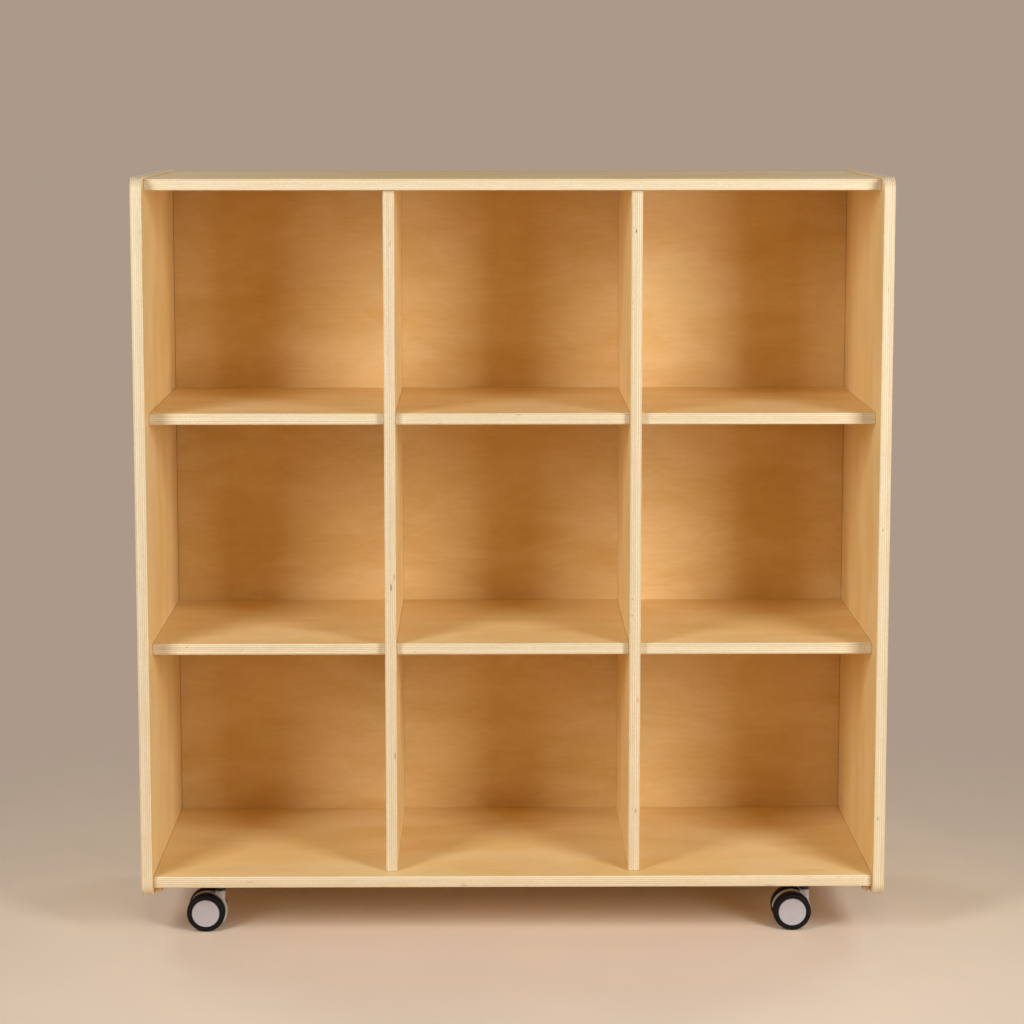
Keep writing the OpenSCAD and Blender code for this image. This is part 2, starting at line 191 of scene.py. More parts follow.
def start_edit(piece: Piece, kind: str) -> bmesh.types.BMesh:
    """Go to edit mode with nothing selected.

    Args:
        piece: The piece to edit.
        kind: What is going to be selected, EDGE or FACE.

    Returns:
        The mesh in edit mode.
    """
    choose(piece)
    bpy.ops.object.mode_set(mode="EDIT")
    bpy.ops.mesh.select_mode(type=kind)
    bpy.ops.mesh.select_all(action="DESELECT")
    return bmesh.from_edit_mesh(piece.data)


def pick_edges(piece: Piece, wanted: Callable[[Vector, Vector], bool]) -> None:
    """Go to edit mode with only the wanted edges selected.

    Args:
        piece: The piece to edit.
        wanted: Tells from the two ends of an edge whether it is wanted.
    """
    for edge in start_edit(piece, "EDGE").edges:
        edge.select_set(wanted(edge.verts[0].co, edge.verts[1].co))
    bmesh.update_edit_mesh(piece.data)


def pick_faces(piece: Piece, way: Vector, both: bool = False) -> None:
    """Go to edit mode with only the faces selected that point one way.

    Args:
        piece: The piece to edit.
        way: The way that they point.
        both: Whether those that point the opposite way are selected too.
    """
    for face in start_edit(piece, "FACE").faces:
        share = face.normal.dot(way)
        face.select_set((abs(share) if both else share) > FACING)
    bmesh.update_edit_mesh(piece.data)


def bevel_picked(width: float, segments: int) -> None:
    """Round the selected edges by a radius, with a number of faces across it, and leave edit mode."""
    bpy.ops.mesh.bevel(offset=width, segments=segments, profile=0.5, affect="EDGES")
    deselect()


def apply_modifier(piece: Piece, kind: str, **settings: object) -> None:
    """Add a modifier with its settings and apply it.

    Args:
        piece: The piece to change.
        kind: The kind of modifier.
        **settings: What to set on it.
    """
    choose(piece)
    modifier = piece.modifiers.new(kind.lower(), kind)
    for name, value in settings.items():
        setattr(modifier, name, value)
    bpy.ops.object.modifier_apply(modifier=modifier.name)


def combine(piece: Piece, other: Piece, operation: str) -> None:
    """Join another solid, which is used up, to a piece by UNION, or cut it out by DIFFERENCE."""
    apply_modifier(piece, "BOOLEAN", operation=operation, object=other, solver="EXACT")
    bpy.data.objects.remove(other)


def drill(piece: Piece, centre: Vector, radius: float, depth: float, axis: Axis) -> None:
    """Cut a round bore into a piece, from the bore's middle, radius, length and axis."""
    combine(piece, add_drum("bore", centre, radius, depth, axis, Sides.BORE), "DIFFERENCE")


def break_edges(piece: Piece, width: float, segments: int = 2, sharper_than: float = SHARP) -> None:
    """Take the sharpness off every edge that is still sharp, and shade the piece.

    Args:
        piece: The piece to finish.
        width: The width of the broken edge.
        segments: The number of faces across it.
        sharper_than: The least angle of an edge that is broken, in degrees.
    """
    apply_modifier(
        piece, "BEVEL", width=width, segments=segments, limit_method="ANGLE",
        angle_limit=math.radians(sharper_than), miter_outer="MITER_ARC",
    )
    choose(piece)
    bpy.ops.object.shade_smooth_by_angle(angle=math.radians(SHARP))
    apply_modifier(piece, "WEIGHTED_NORMAL", keep_sharp=True)


def near(first: float, second: float) -> bool:
    """Whether two lengths agree to a hundredth of a millimetre."""
    return abs(first - second) < 0.01 * MM


def push(move: Vector) -> None:
    """Extrude the selected faces by a move."""
    bpy.ops.mesh.extrude_region_move(TRANSFORM_OT_translate={"value": move})


def shrink(x: float, y: float, z: float = 1.0) -> None:
    """Scale what is selected about its middle."""
    bpy.ops.transform.resize(value=(x, y, z))


def merge_doubles() -> None:
    """Merge the vertices that lie on each other."""
    bpy.ops.mesh.select_all(action="SELECT")
    bpy.ops.mesh.remove_doubles(threshold=0.001 * MM)


def solid_boxes(node: str) -> list[tuple[Vector, Vector]]:
    """The lowest and highest corner of each separate solid of a node.

    Args:
        node: The node.

    Returns:
        A pair of corners for each solid.
    """
    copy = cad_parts[node].copy()
    copy.data = copy.data.copy()
    copy.parent = None
    bpy.context.scene.collection.objects.link(copy)
    choose(copy)
    bpy.ops.object.mode_set(mode="EDIT")
    merge_doubles()
    bpy.ops.mesh.separate(type="LOOSE")
    bpy.ops.object.mode_set(mode="OBJECT")
    boxes = []
    for solid in list(bpy.context.selected_objects):
        spans = list(zip(*(vertex.co for vertex in solid.data.vertices)))
        boxes.append((Vector([min(span) for span in spans]), Vector([max(span) for span in spans])))
        bpy.data.objects.remove(solid)
    return sorted(boxes, key=lambda box: tuple(box[0]))


def copied(piece: Piece, name: str, move: Matrix) -> Piece:
    """Copy a piece with its own mesh.

    Args:
        piece: The piece to copy.
        name: The name of the copy.
        move: How the copy is turned and moved.

    Returns:
        The copy.
    """
    copy = piece.copy()
    copy.data = piece.data.copy()
    copy.data.transform(move)
    copy.name = copy.data.name = name
    bpy.context.scene.collection.objects.link(copy)
    return copy


def repeat(piece: Piece, places: Iterable[Vector]) -> Piece:
    """Copy a piece that is modelled at the origin to each place, and join the copies.

    Args:
        piece: The piece, which is used up.
        places: The places of the copies.

    Returns:
        All the copies in one piece.
    """
    name = piece.name
    copies = [copied(piece, "repeat", Matrix.Translation(place)) for place in places]
    bpy.data.objects.remove(piece)
    choose(copies[0])
    for copy in copies:
        copy.select_set(True)
    bpy.ops.object.join()
    copies[0].name = copies[0].data.name = name
    return copies[0]


def middle(node: str) -> Vector:
    """The middle of a node's box."""
    low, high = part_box(node)
    return (low + high) / 2


def alike(piece: Piece, node: str, other: str, half_turn: bool = False) -> Piece:
    """Copy the piece that stands for a node, so that it stands for another node of the same shape.

    Args:
        piece: The piece that stands for the first node.
        node: The first node.
        other: The other node.
        half_turn: Whether the other one is turned by half a turn about the vertical.

    Returns:
        The piece for the other node.
    """
    turn = Matrix.Rotation(math.pi, 4, "Z") if half_turn else Matrix()
    move = Matrix.Translation(middle(other)) @ turn @ Matrix.Translation(-middle(node))
    return copied(piece, finished(other), move)


# Wiring of node trees


def paint(*levels: int) -> Colour:
    """Turn red, green and blue from 0 to 255, as they show on a screen, into linear light."""
    shares = [level / 255 for level in levels]
    return (*[s / 12.92 if s <= 0.04045 else ((s + 0.055) / 1.055) ** 2.4 for s in shares], 1.0)


class Graph:
    """Adds nodes to a node tree and links them. A value is an output socket or a constant."""

    def __init__(self, tree: bpy.types.NodeTree) -> None:
        """Work on a tree."""
        self.tree = tree

    def find(self, kind: str) -> Node:
        """The node of a kind that the tree has from the start."""
        return next(node for node in self.tree.nodes if node.type == kind)

    def feed(self, node: Node, values: dict[int | str, object]) -> Node:
        """Link a node's inputs to output sockets, or set them to constants.

        Args:
            node: The node.
            values: The value for each input, by the input's name or number.

        Returns:
            The node.
        """
        for key, value in values.items():
            if isinstance(value, bpy.types.NodeSocket):
                self.tree.links.new(value, node.inputs[key])
            else:
                node.inputs[key].default_value = value
        return node

    def node(self, kind: str, *values: object, **settings: object) -> Node:
        """Add a node.

        Args:
            kind: The node's type without its ShaderNode prefix.
            *values: The values for its first inputs.
            **settings: What to set on it.

        Returns:
            The node.
        """
        made = self.tree.nodes.new(kind if kind.startswith("Node") else "ShaderNode" + kind)
        for name, value in settings.items():
            setattr(made, name, value)
        return self.feed(made, dict(enumerate(values)))

    def math(self, operation: str, first: object, second: object = 0.0) -> Socket:
        """Do a sum with one or two numbers."""
        return self.node("Math", first, second, operation=operation).outputs[0]

    def total(self, *values: object) -> Socket:
        """Add up numbers."""
        return reduce(lambda so_far, value: self.math("ADD", so_far, value), values)

    def less(self, first: object, second: object) -> Socket:
        """Take the second number from the first."""
        return self.math("SUBTRACT", first, second)

    def times(self, first: object, second: object) -> Socket:
        """Multiply two numbers."""
        return self.math("MULTIPLY", first, second)

    def size(self, value: object) -> Socket:
        """Drop a number's sign."""
        return self.math("ABSOLUTE", value)

    def vector(self, operation: str, first: object, second: object = (0.0, 0.0, 0.0)) -> Socket:
        """Do a sum with one or two vectors. It gives a number for LENGTH, else a vector."""
        made = self.node("VectorMath", first, second, operation=operation)
        return made.outputs["Value" if operation == "LENGTH" else "Vector"]

    def noise(self, vector: Socket, stretch: Triple, detail: float = 2.0, distortion: float = 0.0) -> Socket:
        """Soft noise from 0 to 1, stretched to so many features in a millimetre along each axis."""
        made = self.node("TexNoise", self.vector("MULTIPLY", vector, stretch))
        return self.feed(made, {"Scale": 1.0, "Detail": detail, "Distortion": distortion}).outputs["Fac"]

    def span(self, value: Socket, low: float, high: float, start: float = 0.0, end: float = 1.0) -> Socket:
        """Bring a number smoothly from the span of low to high to that of start to end, held there."""
        kind = "SMOOTHSTEP"
        return self.node("MapRange", value, low, high, start, end, interpolation_type=kind).outputs[0]

    def swing(self, noise: Socket, low: float = 0.0, high: float = 1.0) -> Socket:
        """Spread soft noise from low to high."""
        return self.span(noise, NOISE_LOW, NOISE_HIGH, low, high)

    def mix(self, share: object, first: object, second: object) -> Socket:
        """Mix two colours by the share of the second one."""
        return self.feed(self.node("Mix", data_type="RGBA"), {0: share, 6: first, 7: second}).outputs[2]

    def relief(self, height: Socket, depth: float) -> Socket:
        """The normal of a surface with a relief from 0 to 1, its depth in millimetres."""
        values = {"Strength": 1.0, "Distance": depth * MM, "Height": height}
        return self.feed(self.node("Bump"), values).outputs["Normal"]

    def millimetres(self, centre: Vector = Vector(), rows: Iterable[Axis] = Axis) -> Socket:
        """Coordinates of a piece in millimetres.

        Args:
            centre: The point that becomes the origin.
            rows: The axes of the frame that become X, Y and Z.

        Returns:
            The coordinates.
        """
        turn = Matrix([axis.vector for axis in rows])
        if turn.determinant() < 0:
            turn[2] = -turn[2]
        place, scale = self.node("TexCoord").outputs["Object"], (1 / MM,) * 3
        return self.node("Mapping", place, -(turn @ centre) / MM, turn.to_euler("XYZ"), scale).outputs[0]


def new_material(name: str) -> tuple[bpy.types.Material, Graph, Node]:
    """Make a material with a Principled shader.

    Args:
        name: Its name.

    Returns:
        The material, the graph of its nodes, and the shader.
    """
    material = bpy.data.materials.new(name)
    material.use_nodes = True
    graph = Graph(material.node_tree)
    return material, graph, graph.find("BSDF_PRINCIPLED")


def wear(piece: Piece, material: bpy.types.Material) -> None:
    """Give a piece one material alone."""
    piece.data.materials.clear()
    piece.data.materials.append(material)


# Finishes


@dataclass(frozen=True)
class EdgeMark:
    """A small knot, crack or open ply on the front edge of a panel, in millimetres.

    Attributes:
        x: Place across the cabinet.
        z: Height above the floor.
        long: Half of its length along the grain.
        thick: Half of its width.
        colour: Its colour.
        depth: How strongly it covers the wood.
    """

    x: float
    z: float
    long: float
    thick: float
    colour: Colour
    depth: float = 0.8


@dataclass(frozen=True)
class Plywood:
    """Lacquered plywood, coloured as a solid, so that its plies show on every cut edge.

    Attributes:
        name: The name of the finish.
        slot: The name of a material slot; it is not used.
        plies: The number of plies.
        face_light: The face veneer where it is light.
        face_dark: The face veneer where it is dark.
        edge_light: A cut edge where the grain runs along it.
        edge_dark: A cut edge where the grain ends in it.
        glue: The glue lines between the plies.
        growth: Distance between the growth bands on the face, in millimetres.
        joint_shadow: The painted shadow line where a panel meets its neighbour.
        gloss: The strength of the lacquer's clear coat.
        satin: The roughness of the clear coat.
    """

    name: str
    slot: str
    plies: int
    face_light: Colour
    face_dark: Colour
    edge_light: Colour
    edge_dark: Colour
    glue: Colour
    growth: float
    joint_shadow: Colour = paint(112, 70, 34)
    gloss: float = 0.5
    satin: float = 0.65

    # Features in a millimetre along the grain, across it and through the thickness
    CLOUD = (0.005, 0.013, 0.02)
    WANDER = (0.004, 0.02, 0.02)
    CURL = (0.02, 0.055, 0.055)
    STREAK = (0.02, 0.45, 0.45)
    FIBRE = (0.08, 2.2, 2.2)
    # How far the figure moves from ply to ply and from panel to panel, in millimetres
    PLY_SHIFT, PANEL_SHIFT = 53.0, 71.0
    # Depth of the figure's relief, in millimetres
    RELIEF = 0.12

    def material(self, node: str, through: Axis, seed: float, ends: bool, rear: bool) -> bpy.types.Material:
        """Make the finish for one panel.

        Args:
            node: The panel's node.
            through: The axis of its thickness.
            seed: A number that gives it its own figure.
            ends: Whether its ends along the grain meet other panels.
            rear: Whether its rear edge meets the back panel.

        Returns:
            The material.
        """
        grain = along(through)
        across = next(axis for axis in Axis if axis not in (through, grain))
        low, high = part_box(node)
        half = (high - low) / 2 / MM
        material, graph, shader = new_material(f"{self.name}_{node}")
        plies = graph.feed(graph.node("Group", node_tree=self.group()), {
            "Vector": graph.millimetres((low + high) / 2, (grain, across, through)),
            "Half": half[through.value],
            # The painted joint shadow of a joint that isn't there lies out of reach
            "Ends": half[grain.value] * (1 if ends else 2),
            "Rear": half[across.value] * (1 if rear else 2),
            "Seed": seed,
        }).outputs
        colour, whole = plies["Color"], graph.millimetres()
        for mark in EDGE_MARKS.get(node, ()):
            reach = [mark.thick] * 3
            reach[grain.value] = mark.long
            offset = graph.vector("SUBTRACT", whole, (mark.x, low.y / MM, mark.z))
            away = graph.vector("LENGTH", graph.vector("DIVIDE", offset, reach))
            colour = graph.mix(graph.span(away, 1.0, 0.35, 0.0, mark.depth), colour, mark.colour)
        graph.feed(shader, {
            "Base Color": colour, "Roughness": plies["Roughness"], "Specular IOR Level": 0.5,
            "Coat Weight": self.gloss, "Coat Roughness": self.satin,
            "Normal": graph.relief(plies["Height"], self.RELIEF),
        })
        return material

    def group(self) -> bpy.types.NodeTree:
        """The node group that colours a point of the solid, made once for the finish.

        Returns:
            The group.
        """
        made = bpy.data.node_groups.get(self.name)
        if made is not None:
            return made
        tree = bpy.data.node_groups.new(self.name, "ShaderNodeTree")
        for name in ("Vector", "Half", "Ends", "Rear", "Seed", "Color", "Roughness", "Height"):
            kind = "NodeSocket" + (name if name in ("Vector", "Color") else "Float")
            side = "OUTPUT" if name in ("Color", "Roughness", "Height") else "INPUT"
            tree.interface.new_socket(name, in_out=side, socket_type=kind)
        graph = Graph(tree)
        given = graph.node("NodeGroupInput").outputs
        x, y, z = graph.node("SeparateXYZ", given["Vector"]).outputs
        # Which ply the point lies in, and how far through the plies it is
        level = graph.math("DIVIDE", graph.total(z, given["Half"]), given["Half"])
        depth = graph.times(level, self.plies / 2)
        ply = graph.math("MINIMUM", graph.math("MAXIMUM", graph.math("FLOOR", depth), 0.0), self.plies - 1.0)
        odd = graph.math("MODULO", ply, 2.0)
        place = graph.node("CombineXYZ", ply, given["Seed"], 0.0).outputs[0]
        chance = graph.node("TexWhiteNoise", place, noise_dimensions="2D").outputs["Value"]
        # The grain turns by a right angle from ply to ply, and each ply and panel has its own figure
        step = graph.times(graph.less(y, x), odd)
        side = graph.total(graph.less(y, step), graph.times(ply, self.PLY_SHIFT))
        rise = graph.total(z, graph.times(given["Seed"], self.PANEL_SHIFT))
        grain = graph.node("CombineXYZ", graph.total(x, step), side, rise).outputs[0]
        cloud = graph.noise(grain, self.CLOUD, 2.0, 0.6)
        wander = graph.times(graph.noise(grain, self.WANDER, 1.0), 6.0 * self.growth)
        band = graph.math("SINE", graph.times(graph.total(side, wander), 2 * math.pi / self.growth))
        curl = graph.noise(grain, self.CURL, 4.0, 2.0)
        streak = graph.noise(grain, self.STREAK, 3.0)
        fibre = graph.noise(grain, self.FIBRE, 2.0)
        # Tone of the face veneer and of the cut edges
        figure = graph.total(graph.swing(cloud, 0.15, 0.8), graph.times(band, 0.03),
                             graph.span(curl, 0.35, 0.65, -0.1, 0.1), graph.swing(streak, -0.06, 0.06),
                             graph.swing(fibre, -0.07, 0.07))
        face = graph.mix(figure, self.face_dark, self.face_light)
        tone = graph.total(graph.times(odd, 0.55), graph.swing(streak, -0.25, 0.25),
                           graph.times(chance, 0.4), graph.swing(fibre, -0.1, 0.1))
        edge = graph.mix(tone, self.edge_light, self.edge_dark)
        # Glue lines lie between the plies, and none on the outer faces
        off = graph.size(graph.less(graph.less(depth, ply), 0.5))
        inside = graph.size(graph.less(depth, self.plies / 2))
        line = graph.times(graph.span(off, 0.36, 0.5),
                           graph.span(inside, self.plies / 2 - 0.25, self.plies / 2 - 0.5))
        strength = graph.total(graph.times(chance, 0.6), 0.4)
        edge = graph.mix(graph.times(line, strength), edge, self.glue)
        depth_left = graph.less(given["Half"], graph.size(z))
        colour = graph.mix(graph.span(depth_left, 0.1, 0.7, 1.0, 0.0), edge, face)
        # A thin painted shadow line where the panel meets its neighbours
        to_end = graph.less(given["Ends"], graph.size(x))
        to_joint = graph.math("MINIMUM", to_end, graph.less(given["Rear"], y))
        colour = graph.mix(graph.span(to_joint, 0.3, 1.1, 0.65, 0.0), colour, self.joint_shadow)
        graph.feed(graph.node("NodeGroupOutput"), {
            "Color": colour, "Roughness": graph.swing(streak, 0.5, 0.64),
            "Height": graph.times(graph.total(fibre, streak), 0.5),
        })
        return tree


@dataclass(frozen=True)
class SolidWood:
    """Plain sanded wood with fine streaks.

    Attributes:
        name: The name of the finish.
        grain: The axis of its grain.
        light: The wood where it is light.
        dark: The wood where it is dark.
    """

    name: str
    grain: Axis
    light: Colour = paint(226, 190, 146)
    dark: Colour = paint(200, 158, 110)

    @cache
    def material(self) -> bpy.types.Material:
        """Make the finish, once for all the pieces that have it.

        Returns:
            The material.
        """
        material, graph, shader = new_material(self.name)
        across = [axis for axis in Axis if axis is not self.grain]
        place = graph.millimetres(rows=(self.grain, *across))
        streak = graph.noise(place, (0.03, 0.6, 0.6), 3.0, 0.3)
        pore = graph.noise(place, (0.2, 3.0, 3.0), 2.0)
        tone = graph.total(graph.swing(streak), graph.swing(pore, -0.2, 0.2))
        graph.feed(shader, {"Base Color": graph.mix(tone, self.dark, self.light),
                            "Roughness": graph.swing(pore, 0.5, 0.65), "Normal": graph.relief(pore, 0.1)})
        return material


@dataclass(frozen=True)
class Moulded:
    """Moulded plastic, rubber or paint: an even colour with a fine surface texture and a little dust.

    Attributes:
        name: The name of the finish.
        colour: Its colour.
        dust: The colour of the dust and rubbed places.
        dusty: The share of dust.
        rough: The least and the greatest roughness.
        relief: The depth of its texture, in millimetres.
        grain: Features of its texture in a millimetre.
        shine: The strength of its reflection.
    """

    name: str
    colour: Colour
    dust: Colour
    dusty: float
    rough: tuple[float, float]
    relief: float
    grain: float
    shine: float = 0.5

    @cache
    def material(self) -> bpy.types.Material:
        """Make the finish, once for all the pieces that have it.

        Returns:
            The material.
        """
        material, graph, shader = new_material(self.name)
        place = graph.millimetres()
        haze = graph.noise(place, (0.12,) * 3, 4.0)
        texture = graph.noise(place, (self.grain,) * 3, 3.0)
        tone = graph.total(graph.span(haze, 0.35, 0.75), graph.span(texture, 0.4, 0.7, -0.3, 0.3))
        colour = graph.mix(graph.times(tone, self.dusty), self.colour, self.dust)
        graph.feed(shader, {"Base Color": colour, "Roughness": graph.swing(haze, *self.rough),
                            "Specular IOR Level": self.shine, "Normal": graph.relief(texture, self.relief)})
        return material


@dataclass(frozen=True)
class Steel:
    """Bright zinc plated steel with a brushed, uneven gloss.

    Attributes:
        name: The name of the finish.
        light: The plating where it is bright.
        dark: The plating where it is dull.
    """

    name: str
    light: Colour
    dark: Colour

    @cache
    def material(self) -> bpy.types.Material:
        """Make the finish, once for all the pieces that have it.

        Returns:
            The material.
        """
        material, graph, shader = new_material(self.name)
        place = graph.millimetres()
        patch = graph.swing(graph.noise(place, (0.5,) * 3, 3.0))
        scratch = graph.noise(place, (0.8, 6.0, 6.0), 3.0)
        graph.feed(shader, {"Base Color": graph.mix(patch, self.dark, self.light), "Metallic": 1.0,
                            "Roughness": graph.swing(scratch, 0.22, 0.42),
                            "Normal": graph.relief(scratch, 0.02)})
        return material


BIRCH = Plywood(
    name="birch_plywood", slot="birch_plywood", plies=11, growth=9.0,
    face_light=paint(246, 216, 157), face_dark=paint(235, 196, 121),
    edge_light=paint(236, 219, 182), edge_dark=paint(213, 184, 134), glue=paint(182, 140, 84),
)
THIN_BIRCH = Plywood(
    name="thin_birch_plywood", slot="thin_plywood", plies=5, growth=11.0,
    face_light=paint(242, 208, 144), face_dark=paint(226, 183, 104),
    edge_light=paint(218, 198, 160), edge_dark=paint(200, 174, 130), glue=paint(176, 136, 88),
)
KNOT = paint(104, 62, 42)
CRACK = paint(128, 112, 86)
PITH = paint(206, 158, 96)
EDGE_MARKS = {
    "divider_right": (
        EdgeMark(160, 936, 3.5, 1.2, KNOT),
        EdgeMark(156, 844, 5.0, 0.8, CRACK, 0.5),
        EdgeMark(157, 453, 2.0, 0.9, CRACK),
        EdgeMark(157, 431, 2.0, 0.9, CRACK),
        EdgeMark(165, 318, 6.0, 1.2, PITH),
        EdgeMark(163, 168, 5.0, 1.1, KNOT, 0.6),
    ),
    "divider_left": (
        EdgeMark(-159, 920, 6.0, 1.2, PITH),
        EdgeMark(-156, 483, 5.0, 0.9, CRACK),
        EdgeMark(-160, 469, 7.0, 1.3, CRACK, 1.0),
        EdgeMark(-156, 243, 6.0, 1.0, CRACK, 1.0),
    ),
    "side_panel_right": (
        EdgeMark(481, 550, 3.0, 0.8, KNOT),
        EdgeMark(481, 165, 4.0, 1.3, KNOT, 0.6),
        EdgeMark(483, 863, 4.5, 0.7, CRACK, 0.6),
    ),
    "shelf_upper_middle": (EdgeMark(7, 696, 5.0, 0.8, CRACK), EdgeMark(-95, 685, 4.0, 0.8, PITH)),
    "shelf_lower_left": (EdgeMark(-430, 388, 1.8, 0.9, KNOT), EdgeMark(-359, 383, 4.0, 0.6, PITH)),
    "shelf_lower_middle": (EdgeMark(-129, 381, 4.0, 0.7, PITH),),
    "bottom_panel": (
        EdgeMark(-348, 79, 8.0, 1.2, PITH),
        EdgeMark(-65, 74, 6.0, 0.9, KNOT, 0.5),
        EdgeMark(340, 73, 12.0, 0.7, CRACK),
    ),
}
STRIP_WOOD = SolidWood("strip_pine", Axis.Y)
DOWEL_BEECH = SolidWood("dowel_beech", Axis.X)
TYRE_RUBBER = Moulded("tyre_rubber", paint(15, 12, 12), paint(36, 31, 29), 0.2, (0.5, 0.65), 0.03, 2.5, 0.15)
CAP_PLASTIC = Moulded("cap_plastic", paint(176, 167, 166), paint(164, 156, 153), 0.6, (0.42, 0.55),
                      0.015, 4.0)
HOUSING_PLASTIC = Moulded("housing_plastic", paint(206, 198, 192), paint(190, 180, 174), 0.5, (0.38, 0.5),
                          0.02, 4.0)
HUB_PLASTIC = Moulded("hub_plastic", paint(60, 58, 58), paint(90, 86, 82), 0.4, (0.4, 0.55), 0.02, 4.0)
BLACK_PLATE = Moulded("black_plate", paint(30, 28, 28), paint(60, 56, 52), 0.3, (0.35, 0.5), 0.02, 1.5)
ZINC_STEEL = Steel("zinc_steel", paint(214, 212, 206), paint(176, 172, 166))


# Sub-assemblies


def along(through: Axis) -> Axis:
    """The axis of a panel's face grain, from the axis of its thickness. It runs up in upright panels."""
    return Axis.Z if through is Axis.X else Axis.X


def finished(node: str) -> str:
    """The name of the piece that stands for a node."""
    return f"finished_{node}"


def hand_over(piece: Piece, node: str, body: str) -> None:
    """Let a piece stand for a node and move with its body.

    Args:
        piece: The finished piece.
        node: The node that it stands for.
        body: The body that it rides on.
    """
    deselect()
    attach(piece, body)
    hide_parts(node)
    LOG.info("%s: %d faces on %s", piece.name, len(piece.data.polygons), body)


def dress_node(node: str, material: bpy.types.Material) -> None:
    """Give a solid that stays its finish.

    Args:
        node: The node.
        material: Its material.
    """
    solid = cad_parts[node]
    wear(solid, material)
    LOG.info("%s keeps its solid", node)


class Head(Enum):
    """The kinds of screw head."""

    PAN = "pan"
    COUNTERSUNK = "countersunk"


@dataclass(frozen=True)
class Screws:
    """A group of like screws that stand for one node.

    Attributes:
        node: The node that they stand for.
        head: The kind of their heads.
        shank: Radius of the shank.
        head_radius: Radius of the head.
        head_height: Height of the head.
        points: The direction in which their tips point.
        tip: Width of the tip as a share of the shank's.
        dome: Radius of a pan head's edge as a share of the head's height.
        nick: Width of the broken edges.
        recess_half: Half of the width of the cross recess.
        recess_long: Half of its length as a share of the head's radius.
        recess_deep: Its depth as a share of the head's height.
        recess_foot: The length and width of its bottom as shares of those at its top.
    """

    node: str
    head: Head
    shank: float
    head_radius: float
    head_height: float
    points: Vector
    tip: float = 0.15
    dome: float = 0.6
    nick: float = 0.12 * MM
    recess_half: float = 0.45 * MM
    recess_long: float = 0.55
    recess_deep: float = 0.6
    recess_foot: tuple[float, float] = (0.5, 0.6)

    def build(self) -> None:
        """Model one screw, copy it to each place and hand the group over."""
        boxes = solid_boxes(self.node)
        length = abs((boxes[0][1] - boxes[0][0]).dot(self.points))
        group = repeat(self.one(length), [self.seat(low, high) for low, high in boxes])
        wear(group, ZINC_STEEL.material())
        hand_over(group, self.node, CABINET)

    def seat(self, low: Vector, high: Vector) -> Vector:
        """The middle of a screw's outer end, from the corners of its solid."""
        return (low + high) / 2 - self.points * abs((high - low).dot(self.points)) / 2

    def one(self, length: float) -> Piece:
        """One screw with its outer end at the origin, its tip along its direction.

        Args:
            length: Its whole length.

        Returns:
            The screw.
        """
        name, centre = finished(self.node), UP * (self.head_height / 2)
        screw = add_drum(name, centre, self.head_radius, self.head_height, Axis.Z, Sides.SCREW)
        if self.head is Head.COUNTERSUNK:
            pick_faces(screw, UP)
            shrink(self.shank / self.head_radius, self.shank / self.head_radius)
        else:
            pick_edges(screw, lambda a, b: near(a.z, 0) and near(b.z, 0))
            bevel_picked(self.head_height * self.dome, segments=5)
        pick_faces(screw, UP)
        if self.head is Head.PAN:
            bpy.ops.mesh.inset(thickness=self.head_radius - self.shank)
        push(UP * (length - self.head_height - self.shank))
        push(UP * self.shank)
        shrink(self.tip, self.tip)
        for turn in (0, 90):
            combine(screw, self.recess(turn), "DIFFERENCE")
        break_edges(screw, self.nick, sharper_than=60)
        screw.data.transform(UP.rotation_difference(self.points).to_matrix().to_4x4())
        return screw

    def recess(self, turn: float) -> Piece:
        """One bar of the cross recess, narrower at its bottom.

        Args:
            turn: The bar's turn about the screw, in degrees.

        Returns:
            The bar, to be cut out of the head.
        """
        long, deep = self.head_radius * self.recess_long, self.head_height * self.recess_deep
        reach = Vector((long, self.recess_half, deep))
        bar = add_block("recess", -reach, reach)
        pick_faces(bar, UP)
        shrink(*self.recess_foot)
        deselect()
        bar.data.transform(Matrix.Rotation(math.radians(turn), 4, "Z"))
        return bar


BACK_SCREWS = Screws("back_panel_screws", Head.COUNTERSUNK, 1.75 * MM, 3.5 * MM, 1.75 * MM, -BACK)
CASTER_SCREWS = Screws("caster_screws", Head.PAN, 1.9 * MM, 3.8 * MM, 2.2 * MM, UP)
STRIP_SCREWS = Screws("strip_screws", Head.COUNTERSUNK, 1.5 * MM, 3 * MM, 1.5 * MM, UP)


